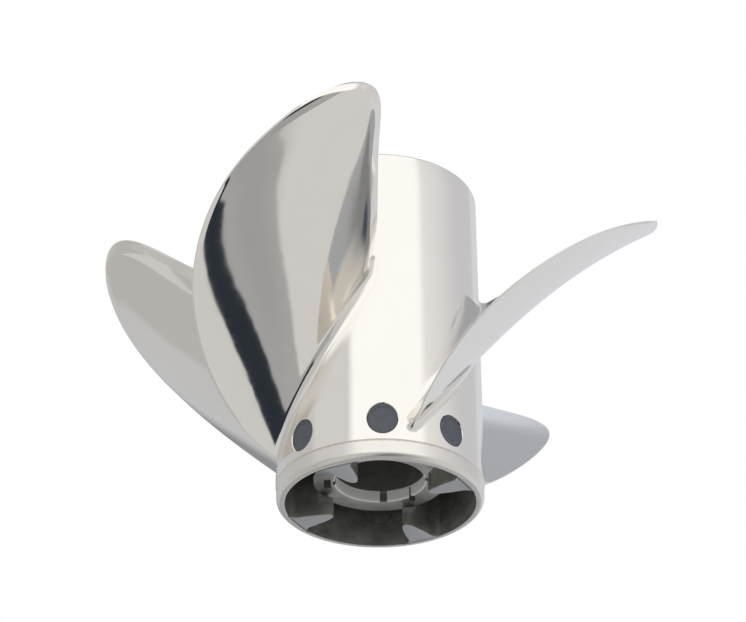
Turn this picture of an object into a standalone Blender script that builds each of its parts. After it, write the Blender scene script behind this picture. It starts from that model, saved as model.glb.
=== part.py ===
"""Four-blade boat propeller with exhaust passages through its hub.

Metres, +Z up. The shaft axis is Z and the origin is the centre of the forward rim, which the part
rests on. Aft is +Z, so the blades rake upwards, and a right-hand turn drives it towards -Z.
Angles run anticlockwise from +X, seen from aft.
"""
import math

import bpy

# Driving dimensions
TIP_RADIUS = 0.1668
PITCH = 0.555
BLADES = 4
BARREL_RADIUS = 0.059
BARREL_LENGTH = 0.1975
WALL = 0.0052
HUB_RADIUS = 0.038
GAP = 0.0003

# Barrel: a machined forward band with a round outer edge, a fine groove, then the polished barrel
BAND_RADIUS = 0.0585
BAND_HEIGHT = 0.0103
BAND_ROUNDING = 0.0034
ROUNDING_STEPS = 4
GROOVE_DEPTH = 0.0005
GROOVE_WIDTH = 0.0008
EDGE = 0.001
FINE_EDGE = 0.0003
BORE_RADIUS = BARREL_RADIUS - WALL
BARREL_SEGMENTS = 72

# Inner hub, set back inside the barrel, with a machined counterbore and a cast bore
HUB_FRONT = 0.0145
HUB_AFT = BARREL_LENGTH - 0.022
COUNTERBORE_RADIUS = 0.0255
COUNTERBORE_DEPTH = 0.0065
SHAFT_BORE_RADIUS = 0.0249
SHOULDER_RADIUS = 0.017
SHOULDER_LENGTH = 0.014
KEYWAY_ANGLE = 86.0
KEYWAY_WIDTH = 0.004
KEYWAY_DEPTH = 0.0012
KEYWAYS = 4
HUB_SEGMENTS = 56

# Two slots in the hub's front face that balance the casting: centre and half sizes
BALANCE_SLOTS = ((-0.0298, 0.0026, 0.0019, 0.0052), (0.0182, 0.0220, 0.0017, 0.0034))
BALANCE_SLOT_DEPTH = 0.006

# Ribs: wedges that stand on the hub, end flush with the rim and flare where they meet the barrel
RIB_ANGLE = 63.0
RIBS = 4
RIB_NOSE_RADIUS = 0.0302
RIB_HALF_THICKNESS = 0.0076
RIB_TAPER = 0.44
RIB_FILLET = 0.005
RIB_AFT = BARREL_LENGTH - 0.030
RIB_STEPS = 12
RIB_ARC_STEPS = 6

# Vent plugs in oval holes round the forward end, two for each blade
PLUG_ANGLES = (1.6, 42.8)
PLUG_HEIGHT = 0.0235
PLUG_HALF_WIDTH = 0.0083
PLUG_HALF_HEIGHT = 0.0092
PLUG_SEGMENTS = 24
PLUG_RINGS = ((1.0, 0.0010), (0.93, 0.0005), (0.80, 0.0005), (0.72, 0.0011))

# Blades: five even stations from root to tip, angles in degrees and heights in metres
SWEEP = (-37.1, -35.1, -30.2, -22.8, -14.0)
HALF_SPAN = (34.5, 33.8, 30.6, 26.2, 23.4)
RAKE = (0.0728, 0.0898, 0.1122, 0.137, 0.1646)
TIP_FULLNESS = 6.0
CAMBER = 0.031
CUP = 0.0034
CUP_START = 0.5
CUP_START_GROWTH = 0.45
LIP_WIDTH = 0.005
LIP_WIDTH_AT_ROOT = 0.013
LIP_BEND = 0.15
ROOT_THICKNESS = 0.0068
TIP_THICKNESS = 0.0016
EDGE_THICKNESS = 0.0013
SUCTION_FILLET_AT_NOSE = 0.004
SUCTION_FILLET_GROWN = 0.010
SUCTION_FILLET_AT_TAIL = 0.003
PRESSURE_FILLET_AT_TAIL = 0.0065
TAIL_FILLET_START = 0.8
PRESSURE_FILLET = 0.0085
CHORD_STEPS = 12
SPAN_STEPS = 16
FILLET_STEPS = 5
CAP_STEPS = 5


def clear_scene():
    for thing in list(bpy.data.objects):
        bpy.data.objects.remove(thing, do_unlink=True)


def material(name, colour, roughness, metallic):
    made = bpy.data.materials.new(name)
    made.use_nodes = True
    shader = made.node_tree.nodes["Principled BSDF"]
    shader.inputs["Base Color"].default_value = (*colour, 1.0)
    shader.inputs["Roughness"].default_value = roughness
    shader.inputs["Metallic"].default_value = metallic
    return made


def add_object(name, points, faces, finish, smooth_angle=35.0):
    mesh = bpy.data.meshes.new(name)
    mesh.from_pydata(points, [], faces)
    mesh.validate()
    mesh.materials.append(finish)
    mesh.shade_smooth()
    mesh.set_sharp_from_angle(angle=math.radians(smooth_angle))
    made = bpy.data.objects.new(name, mesh)
    bpy.context.scene.collection.objects.link(made)
    return made


def polar(radius, angle, height):
    return (radius * math.cos(angle), radius * math.sin(angle), height)


def turned(profile, segments):
    """Points and faces of a closed profile of (radius, height), anticlockwise, turned about Z."""
    count = len(profile)
    points = []
    for step in range(segments):
        angle = 2.0 * math.pi * step / segments
        points += [polar(radius, angle, height) for radius, height in profile]
    faces = []
    for step in range(segments):
        here = step * count
        there = (step + 1) % segments * count
        for index in range(count):
            after = (index + 1) % count
            faces.append((here + index, there + index, there + after, here + after))
    return points, faces


def prism(outline_points, start, end, place):
    """A closed prism of a flat outline; place maps (a, b, depth) to a point."""
    count = len(outline_points)
    points = [place(a, b, start) for a, b in outline_points]
    points += [place(a, b, end) for a, b in outline_points]
    faces = [tuple(reversed(range(count))), tuple(range(count, 2 * count))]
    for index in range(count):
        after = (index + 1) % count
        faces.append((index, after, count + after, count + index))
    return points, faces


def joined(shapes):
    points, faces = [], []
    for shape_points, shape_faces in shapes:
        offset = len(points)
        points += shape_points
        faces += [tuple(offset + corner for corner in face) for face in shape_faces]
    return points, faces


def cut(target, name, shapes):
    points, faces = joined(shapes)
    cutter = add_object(name, points, faces, target.data.materials[0])
    cutter.hide_render = True
    cutter.display_type = "WIRE"
    boolean = target.modifiers.new(name, "BOOLEAN")
    boolean.operation = "DIFFERENCE"
    boolean.solver = "EXACT"
    boolean.object = cutter


def radial_place(angle):
    """Maps (across, height, depth) to a point on the ray at the angle."""
    def place(across, height, depth):
        return (
            depth * math.cos(angle) - across * math.sin(angle),
            depth * math.sin(angle) + across * math.cos(angle),
            height,
        )
    return place


def upright_place(across, along, height):
    """Maps a plan outline and a height to a point."""
    return (across, along, height)


def ellipse(half_width, half_height, centre_height, segments):
    points = []
    for step in range(segments):
        turn = 2.0 * math.pi * step / segments
        across = half_width * math.cos(turn)
        points.append((across, centre_height + half_height * math.sin(turn)))
    return points


def rectangle(half_width, low, high):
    return [(-half_width, low), (half_width, low), (half_width, high), (-half_width, high)]


def plug_angles():
    for turn in range(BLADES):
        for angle in PLUG_ANGLES:
            yield math.radians(angle + 360.0 / BLADES * turn)


def make_barrel(finish):
    groove_low = BAND_HEIGHT - GROOVE_WIDTH / 2.0
    groove_high = BAND_HEIGHT + GROOVE_WIDTH / 2.0
    bevel = EDGE * 0.3
    profile = [(BORE_RADIUS + FINE_EDGE, 0.0)]
    for step in range(ROUNDING_STEPS + 1):
        turn = math.pi / 2.0 * step / ROUNDING_STEPS
        inset = BAND_ROUNDING * (1.0 - math.sin(turn))
        profile.append((BAND_RADIUS - inset, BAND_ROUNDING * (1.0 - math.cos(turn))))
    profile += [
        (BAND_RADIUS, groove_low),
        (BAND_RADIUS - GROOVE_DEPTH, BAND_HEIGHT),
        (BARREL_RADIUS, groove_high),
        (BARREL_RADIUS, BARREL_LENGTH - EDGE),
        (BARREL_RADIUS - bevel, BARREL_LENGTH - bevel),
        (BARREL_RADIUS - EDGE, BARREL_LENGTH),
        (BORE_RADIUS + EDGE, BARREL_LENGTH),
        (BORE_RADIUS, BARREL_LENGTH - EDGE),
        (BORE_RADIUS, FINE_EDGE),
    ]
    points, faces = turned(profile, BARREL_SEGMENTS)
    barrel = add_object("outer_barrel", points, faces, finish)
    outline = ellipse(PLUG_HALF_WIDTH, PLUG_HALF_HEIGHT, PLUG_HEIGHT, PLUG_SEGMENTS)
    inside = BORE_RADIUS - 0.006
    outside = BARREL_RADIUS + 0.006
    holes = [prism(outline, inside, outside, radial_place(angle)) for angle in plug_angles()]
    cut(barrel, "vent_hole_cutter", holes)


def make_plug(name, angle, finish):
    place = radial_place(angle)
    half_width = PLUG_HALF_WIDTH - GAP
    half_height = PLUG_HALF_HEIGHT - GAP
    points = []
    for scale in (0.5, 1.0):
        for across, height in ellipse(scale * half_width, scale * half_height, PLUG_HEIGHT, PLUG_SEGMENTS):
            points.append(place(across, height, math.sqrt(BORE_RADIUS**2 - across**2)))
    for scale, recess in PLUG_RINGS:
        for across, height in ellipse(scale * half_width, scale * half_height, PLUG_HEIGHT, PLUG_SEGMENTS):
            depth = math.sqrt((BARREL_RADIUS - recess)**2 - across**2)
            points.append(place(across, height, depth))
    rings = 2 + len(PLUG_RINGS)
    inner_centre = len(points)
    points.append(place(0.0, PLUG_HEIGHT, BORE_RADIUS))
    outer_centre = len(points)
    points.append(place(0.0, PLUG_HEIGHT, BARREL_RADIUS - PLUG_RINGS[-1][1]))
    last = (rings - 1) * PLUG_SEGMENTS
    faces = []
    for step in range(PLUG_SEGMENTS):
        after = (step + 1) % PLUG_SEGMENTS
        faces.append((inner_centre, after, step))
        for ring in range(rings - 1):
            low = ring * PLUG_SEGMENTS
            high = low + PLUG_SEGMENTS
            faces.append((low + step, low + after, high + after, high + step))
        faces.append((outer_centre, last + step, last + after))
    add_object(name, points, faces, finish)


def make_hub(finish):
    bevel = EDGE * 0.8
    shelf = HUB_FRONT + COUNTERBORE_DEPTH
    shoulder = HUB_AFT - SHOULDER_LENGTH
    profile = [
        (COUNTERBORE_RADIUS + bevel, HUB_FRONT),
        (HUB_RADIUS - bevel, HUB_FRONT),
        (HUB_RADIUS, HUB_FRONT + bevel),
        (HUB_RADIUS, HUB_AFT - bevel),
        (HUB_RADIUS - bevel, HUB_AFT),
        (SHOULDER_RADIUS, HUB_AFT),
        (SHOULDER_RADIUS, shoulder),
        (SHAFT_BORE_RADIUS, shoulder),
        (SHAFT_BORE_RADIUS, shelf),
        (COUNTERBORE_RADIUS, shelf),
        (COUNTERBORE_RADIUS, HUB_FRONT + bevel),
    ]
    points, faces = turned(profile, HUB_SEGMENTS)
    hub = add_object("inner_hub", points, faces, finish)
    outline = rectangle(KEYWAY_WIDTH / 2.0, HUB_FRONT - 0.002, shelf + 0.0006)
    slots = []
    for turn in range(KEYWAYS):
        angle = math.radians(KEYWAY_ANGLE + 360.0 / KEYWAYS * turn)
        end = COUNTERBORE_RADIUS + KEYWAY_DEPTH
        slots.append(prism(outline, SHOULDER_RADIUS, end, radial_place(angle)))
    cut(hub, "keyway_cutter", slots)
    pockets = []
    for x, y, half_x, half_y in BALANCE_SLOTS:
        corners = [(x - half_x, y - half_y), (x + half_x, y - half_y)]
        corners += [(x + half_x, y + half_y), (x - half_x, y + half_y)]
        bottom = HUB_FRONT + BALANCE_SLOT_DEPTH
        pockets.append(prism(corners, HUB_FRONT - 0.002, bottom, upright_place))
    cut(hub, "balance_slot_cutter", pockets)


def rib_half_thickness(radius):
    """Half thickness at a radius: a blunt wedge, plus the fillet where it meets the barrel."""
    share = (radius - RIB_NOSE_RADIUS) / (BORE_RADIUS - RIB_NOSE_RADIUS)
    into_fillet = max(0.0, RIB_FILLET - (BORE_RADIUS - radius))
    fillet = RIB_FILLET - math.sqrt(RIB_FILLET**2 - into_fillet**2)
    return RIB_HALF_THICKNESS * share**RIB_TAPER + fillet


def rib_outline(angle):
    """Plan outline, anticlockwise: out along one side, round at the barrel, back along the other."""
    outer = BORE_RADIUS - GAP
    first_side, second_side = [], []
    for step in range(1, RIB_STEPS + 1):
        share = (1.0 + chord_place(step / RIB_STEPS)) / 2.0
        radius = RIB_NOSE_RADIUS + (outer - RIB_NOSE_RADIUS) * share
        half_angle = math.asin(rib_half_thickness(radius) / radius)
        first_side.append(polar(radius, angle - half_angle, 0.0)[:2])
        second_side.append(polar(radius, angle + half_angle, 0.0)[:2])
    reach = math.asin(rib_half_thickness(outer) / outer)
    for step in range(1, RIB_ARC_STEPS):
        turn = angle - reach + 2.0 * reach * step / RIB_ARC_STEPS
        first_side.append(polar(outer, turn, 0.0)[:2])
    nose = polar(RIB_NOSE_RADIUS, angle, 0.0)[:2]
    return [nose] + first_side + list(reversed(second_side))


def make_rib(name, angle, finish):
    points, faces = prism(rib_outline(angle), 0.0, RIB_AFT, upright_place)
    rib = add_object(name, points, faces, finish)
    clear_radius = HUB_RADIUS + GAP
    circle = []
    for step in range(HUB_SEGMENTS):
        turn = 2.0 * math.pi * step / HUB_SEGMENTS
        circle.append((clear_radius * math.cos(turn), clear_radius * math.sin(turn)))
    around_hub = prism(circle, HUB_FRONT - GAP, RIB_AFT + 0.01, upright_place)
    cut(rib, name + "_hub_cutter", [around_hub])


def through_stations(values, share):
    """The smooth curve through five evenly spaced values, read at a share from 0 to 1."""
    last = len(values) - 1
    total = 0.0
    for index, value in enumerate(values):
        weight = 1.0
        for other in range(len(values)):
            if other != index:
                weight *= (share * last - other) / (index - other)
        total += weight * value
    return total


def chord_place(share):
    """From -1 at the leading edge to 1 at the trailing edge, closer together near both."""
    return (2.0 * share - 1.0 - math.cos(math.pi * share)) / 2.0


def cup_height(place, share, half_chord):
    """How far the face curls aft towards the tail: a slow curl, a crease, then a flat lip."""
    start = min(0.9, CUP_START + CUP_START_GROWTH * share)
    reach = (1.0 - start) * half_chord
    lip = min(LIP_WIDTH + LIP_WIDTH_AT_ROOT * (1.0 - share)**2.2, 0.5 * reach)
    curl = reach - lip
    height = CUP * min(1.0, half_chord / 0.03)
    steepness = (height - lip * LIP_BEND) / (curl**2 + 2.0 * curl * lip)
    beyond = max(0.0, (place - start) * half_chord)
    slow = min(beyond, curl)
    sharp = max(0.0, beyond - curl)
    return steepness * slow**2 + (2.0 * steepness * curl + LIP_BEND) * sharp


def blade_section(radius):
    """One blade section, unrolled at its radius: (arc, height) points, suction side first."""
    share = (radius - BARREL_RADIUS) / (TIP_RADIUS - BARREL_RADIUS)
    pitch_angle = math.atan2(PITCH, 2.0 * math.pi * radius)
    along = (math.cos(pitch_angle), math.sin(pitch_angle))
    normal = (-along[1], along[0])
    centre_arc = radius * math.radians(through_stations(SWEEP, share))
    centre_height = through_stations(RAKE, share)
    rounding = math.sqrt(max(0.0, 1.0 - share**TIP_FULLNESS))
    full_half_chord = math.radians(through_stations(HALF_SPAN, share)) * radius / along[0]
    half_chord = full_half_chord * rounding - EDGE_THICKNESS / 2.0
    thickest = ROOT_THICKNESS + (TIP_THICKNESS - ROOT_THICKNESS) * share

    def at(place, offset):
        arc = centre_arc + place * half_chord * along[0] + offset * normal[0]
        return (arc, centre_height + place * half_chord * along[1] + offset * normal[1])

    whole_cup = cup_height(1.0, share, half_chord)

    def face_offset(place):
        dish = -CAMBER * 2.0 * full_half_chord * (1.0 - (rounding * place)**2)
        return dish + cup_height(place, share, half_chord) - whole_cup * (1.0 + place) / 2.0

    def thickness(place):
        swell = (thickest - EDGE_THICKNESS) * (1.0 - abs(place)**2.2)
        return EDGE_THICKNESS + max(0.0, swell)

    places = [chord_place(step / CHORD_STEPS) for step in range(CHORD_STEPS + 1)]
    nose = 1.0 + EDGE_THICKNESS / (2.0 * half_chord)
    ring = [at(-nose, face_offset(-1.0) + EDGE_THICKNESS / 2.0)]
    ring += [at(place, face_offset(place)) for place in places]
    tail_offset = face_offset(1.0) + EDGE_THICKNESS / 2.0
    ring.append(at(nose, tail_offset))
    ring += [at(place, face_offset(place) + thickness(place)) for place in reversed(places)]
    return ring


def root_fillet(index):
    """Fillet radius at a point of a section: it changes from the nose to the tail on both sides."""
    if index == 0:
        return (SUCTION_FILLET_AT_NOSE + PRESSURE_FILLET) / 2.0
    if index == CHORD_STEPS + 2:
        return (SUCTION_FILLET_AT_TAIL + PRESSURE_FILLET_AT_TAIL) / 2.0
    on_suction = index <= CHORD_STEPS + 1
    step = index - 1 if on_suction else 2 * CHORD_STEPS + 3 - index
    along = (1.0 + chord_place(step / CHORD_STEPS)) / 2.0
    near_tail = max(0.0, (along - TAIL_FILLET_START) / (1.0 - TAIL_FILLET_START))**2
    if on_suction:
        growth = SUCTION_FILLET_GROWN - SUCTION_FILLET_AT_NOSE
        full = SUCTION_FILLET_AT_NOSE + growth * along**2
        return full + (SUCTION_FILLET_AT_TAIL - full) * near_tail
    return PRESSURE_FILLET + (PRESSURE_FILLET_AT_TAIL - PRESSURE_FILLET) * near_tail


def flared(ring, height):
    """The section grown outwards where it is within the root fillet, height above the barrel."""
    count = len(ring)
    grown = []
    for index, (arc, level) in enumerate(ring):
        fillet = root_fillet(index)
        if height >= fillet:
            grown.append((arc, level))
            continue
        growth = fillet - math.sqrt(fillet**2 - (fillet - height)**2)
        before = ring[index - 1]
        after = ring[(index + 1) % count]
        step = (after[0] - before[0], after[1] - before[1])
        length = math.hypot(*step)
        grown.append((arc + growth * step[1] / length, level - growth * step[0] / length))
    return grown


def blade_radii():
    """Radii of the sections: close together in the root fillet and again at the tip."""
    root = BARREL_RADIUS + GAP
    fillet_top = root + PRESSURE_FILLET
    tip = TIP_RADIUS - 0.0001
    radii = [root + PRESSURE_FILLET * (step / FILLET_STEPS)**2 for step in range(FILLET_STEPS)]
    for step in range(SPAN_STEPS + 1):
        share = 1.0 - (1.0 - step / SPAN_STEPS)**1.7
        radii.append(fillet_top + (tip - fillet_top) * share)
    return radii


def make_blade(name, turn, finish):
    radii = blade_radii()
    root = radii[0]
    points = []
    for radius in radii:
        ring = flared(blade_section(radius), radius - root)
        points += [polar(radius, turn + arc / radius, height) for arc, height in ring]
    count = 2 * CHORD_STEPS + 4
    faces = []
    for row in range(len(radii) - 1):
        for index in range(count):
            after = (index + 1) % count
            low = row * count
            faces.append((low + index, low + after, low + count + after, low + count + index))
    tip = (len(radii) - 1) * count
    faces.append(tuple(range(tip, tip + count)))
    root_ring = flared(blade_section(root), 0.0)
    columns = []
    for index in range(1, CHORD_STEPS + 2):
        partner = count - index
        start, end = root_ring[index], root_ring[partner]
        column = [index]
        for step in range(1, CAP_STEPS):
            share = step / CAP_STEPS
            arc = start[0] + (end[0] - start[0]) * share
            height = start[1] + (end[1] - start[1]) * share
            column.append(len(points))
            points.append(polar(root, turn + arc / root, height))
        column.append(partner)
        columns.append(column)
    for here, there in zip(columns, columns[1:]):
        for step in range(CAP_STEPS):
            faces.append((here[step], here[step + 1], there[step + 1], there[step]))
    first, last = columns[0], columns[-1]
    for step in range(CAP_STEPS):
        faces.append((0, first[step + 1], first[step]))
        faces.append((CHORD_STEPS + 2, last[step], last[step + 1]))
    return add_object(name, points, faces, finish, smooth_angle=50.0)


def main():
    clear_scene()
    make_barrel(material("barrel_steel", (0.78, 0.76, 0.72), 0.18, 1.0))
    make_hub(material("hub_steel", (0.46, 0.45, 0.42), 0.38, 1.0))
    quarter = 2.0 * math.pi / BLADES
    for number in range(RIBS):
        angle = math.radians(RIB_ANGLE) + 2.0 * math.pi / RIBS * number
        rib_steel = material(f"rib_{number + 1}_steel", (0.50, 0.49, 0.46), 0.36, 1.0)
        make_rib(f"rib_{number + 1}", angle, rib_steel)
    for number in range(BLADES):
        blade_steel = material(f"blade_{number + 1}_steel", (0.76, 0.75, 0.72), 0.16, 1.0)
        make_blade(f"blade_{number + 1}", quarter * number, blade_steel)
    for number, angle in enumerate(plug_angles(), start=1):
        rubber = material(f"vent_plug_{number}_rubber", (0.09, 0.10, 0.11), 0.55, 0.0)
        make_plug(f"vent_plug_{number}", angle, rubber)


main()
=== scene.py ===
# %% [markdown]
# # A polished boat propeller
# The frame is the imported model: every solid at its real size, in metres, standing on its forward
# rim with the shaft axis along Z. This script keeps those places and dresses them: it models the
# fine surface of the casting and the plugs, gives them their finish, and lights them the way a
# studio lights bright metal.

# %% Load the frame
import math

import bpy
import numpy as np
from mathutils import Matrix, Vector, noise


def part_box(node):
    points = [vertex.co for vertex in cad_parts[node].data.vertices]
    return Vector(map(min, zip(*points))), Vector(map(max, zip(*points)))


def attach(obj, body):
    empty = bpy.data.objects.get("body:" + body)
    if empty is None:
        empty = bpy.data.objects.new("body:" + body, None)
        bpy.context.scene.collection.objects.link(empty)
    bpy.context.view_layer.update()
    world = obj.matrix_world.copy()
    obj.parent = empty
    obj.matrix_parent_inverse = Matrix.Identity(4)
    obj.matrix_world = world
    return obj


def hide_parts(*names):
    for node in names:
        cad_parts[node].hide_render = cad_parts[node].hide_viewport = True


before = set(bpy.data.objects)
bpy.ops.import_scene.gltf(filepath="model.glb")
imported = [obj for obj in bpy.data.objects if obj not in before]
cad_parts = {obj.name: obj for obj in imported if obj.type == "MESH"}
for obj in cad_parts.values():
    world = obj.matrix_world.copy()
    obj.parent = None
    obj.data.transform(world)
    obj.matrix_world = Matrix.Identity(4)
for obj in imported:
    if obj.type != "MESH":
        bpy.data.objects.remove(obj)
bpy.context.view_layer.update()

print("frame nodes:", len(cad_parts))

# %% [markdown]
# ## Sizes
# The casting's forms all follow from a few sizes. The barrel's radius, its length and the inner
# hub's radius are read from the frame's boxes, so that the dressed pieces lie where the solids
# lie.

# %% Sizes read from the frame
MM = 0.001
FULL_TURN = 2.0 * math.pi
SQUARE = ((-1, -1), (1, -1), (1, 1), (-1, 1))
barrel_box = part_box("outer_barrel")
hub_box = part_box("inner_hub")
BARREL_RADIUS = round(float(barrel_box[1][0]), 5)
BARREL_LENGTH = round(float(barrel_box[1][2]), 5)
HUB_RADIUS = round(float(hub_box[1][0]), 4)
HUB_FRONT = round(float(hub_box[0][2]), 5)
HUB_AFT = round(float(hub_box[1][2]), 5)
WALL = 5.2 * MM
BORE_RADIUS = BARREL_RADIUS - WALL
print("barrel radius", BARREL_RADIUS, "length", BARREL_LENGTH, "hub radius", HUB_RADIUS)

# %% [markdown]
# ## Skins
# Every piece here is a grid of points wrapped round a form. A modifier stack on primitives could
# make such forms too, but a grid puts each point where the real surface lies, which is what
# bright reflections need. One helper turns points and faces into a smooth-shaded object with its
# finish, hangs it under the root, and hides the frame's solid that it stands for. Another
# gives the piece more finishes, face by face. A skin that is made of several parts grows loop by
# loop, and each loop is known by the numbers of its points.

# %% Helpers for skins
def in_scene(name, data):
    """A new object with the data, linked to the scene."""
    thing = bpy.data.objects.new(name, data)
    bpy.context.scene.collection.objects.link(thing)
    return thing


def skin(name, points, faces, finish, node, sharp_degrees=40.0):
    mesh = bpy.data.meshes.new(name)
    mesh.from_pydata([tuple(point) for point in points], [], [tuple(face) for face in faces])
    mesh.validate()
    mesh.materials.append(finish)
    mesh.shade_smooth()
    mesh.set_sharp_from_angle(angle=math.radians(sharp_degrees))
    piece = in_scene(name, mesh)
    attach(piece, "root")
    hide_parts(node)
    print(f"{name}: {len(mesh.vertices)} points, {len(mesh.polygons)} faces")
    return piece


class GrowingSkin:
    """Points and faces of a piece under way, and the number of each face's finish."""
    def __init__(self):
        self.points, self.faces, self.finish_of_face = [], [], []

    def add_loop(self, points):
        """Adds points and gives their numbers."""
        first = len(self.points)
        self.points += points
        return list(range(first, len(self.points)))

    def add_faces(self, faces, finish):
        self.faces += faces
        self.finish_of_face += [finish] * len(faces)


def add_finishes(piece, finishes, finish_of_face):
    """Adds finishes to the piece's first one, and gives each face its finish by number."""
    for finish in finishes:
        piece.data.materials.append(finish)
    for polygon, number in zip(piece.data.polygons, finish_of_face):
        polygon.material_index = number


# %% Helpers for loops and faces
def ring_of_quads(here, there):
    """Faces between two closed loops of point numbers."""
    after_here, after_there = here[1:] + here[:1], there[1:] + there[:1]
    return list(zip(here, after_here, after_there, there))


def loops_of(count, number):
    """Numbers of the points of closed loops that follow each other, count points in each."""
    return [list(range(low, low + count)) for low in range(0, count * number, count)]


def wrapped(loops):
    """Faces of a skin through the loops, in order, and open at both ends."""
    return [quad for here, there in zip(loops, loops[1:]) for quad in ring_of_quads(here, there)]


def wrapped_and_closed(loops):
    return wrapped(loops) + [tuple(loops[-1]), tuple(reversed(loops[0]))]


# %% Helpers for places
def polar(radius, angle, height):
    return (radius * math.cos(angle), radius * math.sin(angle), height)


def radial_place(angle):
    """Maps (across, height, depth) to a point on the ray at the angle."""
    def place(across, height, depth):
        return (
            depth * math.cos(angle) - across * math.sin(angle),
            depth * math.sin(angle) + across * math.cos(angle),
            height,
        )
    return place


def quarter_round(centre, radius, start_degrees, end_degrees, steps):
    """Points of an arc, as (radius, height) pairs of a turned profile."""
    points = []
    for step in range(steps + 1):
        turn = math.radians(start_degrees + (end_degrees - start_degrees) * step / steps)
        points.append((centre[0] + radius * math.cos(turn), centre[1] + radius * math.sin(turn)))
    return points


def even_steps(start, end, count):
    """Values from start to end, both included."""
    return [start + (end - start) * step / count for step in range(count + 1)]


# %% [markdown]
# ## Shader groups
# Polished metal shows its shape through reflections, so its finish is mostly small departures
# from a perfect surface: the slow waviness that hand polishing leaves, the fine scratches of the
# wheel, and thin smears. They could be drawn as image textures, but then the blades would have to
# be unwrapped and would show the pixels in close-up. Here each is a node group that puts out a
# mask or a height made from noise, and each material places the groups with its own scales.

# %% Helpers for shader groups
def new_group(name, inputs, outputs):
    """A group, its inputs to get values from and its outputs to put masks or heights into.

    An input is a number when its value is one, and otherwise a vector, with None for no default.
    """
    group = bpy.data.node_groups.new(name, "ShaderNodeTree")
    for label, value in inputs.items():
        kind = "NodeSocketFloat" if isinstance(value, float) else "NodeSocketVector"
        socket = group.interface.new_socket(label, in_out="INPUT", socket_type=kind)
        if value is not None:
            socket.default_value = value
    for label in outputs:
        group.interface.new_socket(label, in_out="OUTPUT", socket_type="NodeSocketFloat")
    get = group.nodes.new("NodeGroupInput").outputs
    return group, get, group.nodes.new("NodeGroupOutput").inputs


def add_node(tree, kind, links=(), **values):
    """A node with properties set by name and sockets set or linked by (socket, source)."""
    node = tree.nodes.new(kind)
    for key, value in values.items():
        setattr(node, key, value)
    for socket, source in links:
        if isinstance(source, bpy.types.NodeSocket):
            tree.links.new(source, node.inputs[socket])
        else:
            node.inputs[socket].default_value = source
    return node


def math_node(tree, operation, first, second=None, third=None, clamp=False):
    links = [(0, first)]
    if second is not None:
        links.append((1, second))
    if third is not None:
        links.append((2, third))
    return add_node(tree, "ShaderNodeMath", links, operation=operation, use_clamp=clamp).outputs[0]


def noise_node(tree, vector, scale, detail, roughness=0.5, distortion=0.0):
    links = [("Vector", vector), ("Scale", scale), ("Detail", detail)]
    links += [("Roughness", roughness), ("Distortion", distortion)]
    return add_node(tree, "ShaderNodeTexNoise", links).outputs["Fac"]


# %% Waviness left by hand polishing
def make_waviness():
    """Height of the slow waves: broad swells plus shorter ripples, in units of the depth."""
    inputs = {"Vector": None, "Swell Scale": 25.0, "Ripple Scale": 120.0, "Ripple Share": 0.2}
    group, get, put = new_group("polishing_waviness", inputs, ["Height"])
    swell = noise_node(group, get["Vector"], get["Swell Scale"], 1.0)
    ripple = noise_node(group, get["Vector"], get["Ripple Scale"], 1.0)
    small = math_node(group, "MULTIPLY", ripple, get["Ripple Share"])
    group.links.new(math_node(group, "ADD", swell, small), put["Height"])
    return group


# %% Scratches and smears
def make_scratches():
    """Mask of fine scratches that run along one direction of the given vector."""
    inputs = {"Vector": None, "Scale": 900.0, "Stretch": (1.0, 1.0, 0.04)}
    group, get, put = new_group("fine_scratches", inputs, ["Mask"])
    links = [(0, get["Vector"]), (1, get["Stretch"])]
    along = add_node(group, "ShaderNodeVectorMath", links, operation="MULTIPLY").outputs[0]
    lines = noise_node(group, along, get["Scale"], 3.0, 0.7)
    sharper = math_node(group, "MULTIPLY_ADD", lines, 3.0, -1.2, clamp=True)
    group.links.new(sharper, put["Mask"])
    return group


def make_smears():
    """Mask of broad thin smears, where handling has dulled the polish."""
    group, get, put = new_group("thin_smears", {"Vector": None, "Scale": 30.0}, ["Mask"])
    cloud = noise_node(group, get["Vector"], get["Scale"], 4.0, 0.6, 0.6)
    sharper = math_node(group, "MULTIPLY_ADD", cloud, 2.4, -0.9, clamp=True)
    group.links.new(sharper, put["Mask"])
    return group


# %% Grain of a sand-cast surface
def make_cast_grain():
    """Height of the cast skin and a mask of its darker scale."""
    inputs = {"Vector": None, "Grain Scale": 700.0, "Patch Scale": 90.0}
    group, get, put = new_group("cast_grain", inputs, ["Height", "Scale Mask"])
    grain = noise_node(group, get["Vector"], get["Grain Scale"], 3.0, 0.65)
    patch = noise_node(group, get["Vector"], get["Patch Scale"], 4.0, 0.6)
    coarse = math_node(group, "MULTIPLY", patch, 1.6)
    group.links.new(math_node(group, "ADD", grain, coarse), put["Height"])
    darker = math_node(group, "MULTIPLY_ADD", patch, 3.0, -1.0, clamp=True)
    group.links.new(darker, put["Scale Mask"])
    return group


WAVINESS = make_waviness()
SCRATCHES = make_scratches()
SMEARS = make_smears()
CAST_GRAIN = make_cast_grain()
print("shader groups:", [group.name for group in bpy.data.node_groups])


# %% [markdown]
# ## Materials
# The polished steel is a metal with a nearly white, slightly warm colour. Its roughness is low
# and is raised a little by scratches and smears. One function makes every worked steel, because
# turned, ground and polished faces differ in roughness and in the way that the scratches run: the
# band and the counterbore are turned, and the rim and the ribs' flat ends are ground. The
# counterbore's finely turned wall scatters so much light that it is given as a plain matt
# surface. The cast steel inside was never worked: it is grainy, dull and dark, partly with heat
# scale and partly with painted shade. The one casting is given three tones: the ribs are painted
# lighter than the hub, as painted light, and the barrel's inner wall darker, as painted shade.
# The plugs are moulded plastic.

# %% Material helpers
def new_material(name):
    material = bpy.data.materials.new(name)
    material.use_nodes = True
    tree = material.node_tree
    return material, tree, tree.nodes["Principled BSDF"]


def set_values(shader, values):
    for socket, value in values.items():
        shader.inputs[socket].default_value = value


def grouped(tree, group, links):
    return add_node(tree, "ShaderNodeGroup", links, node_tree=group)


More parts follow.
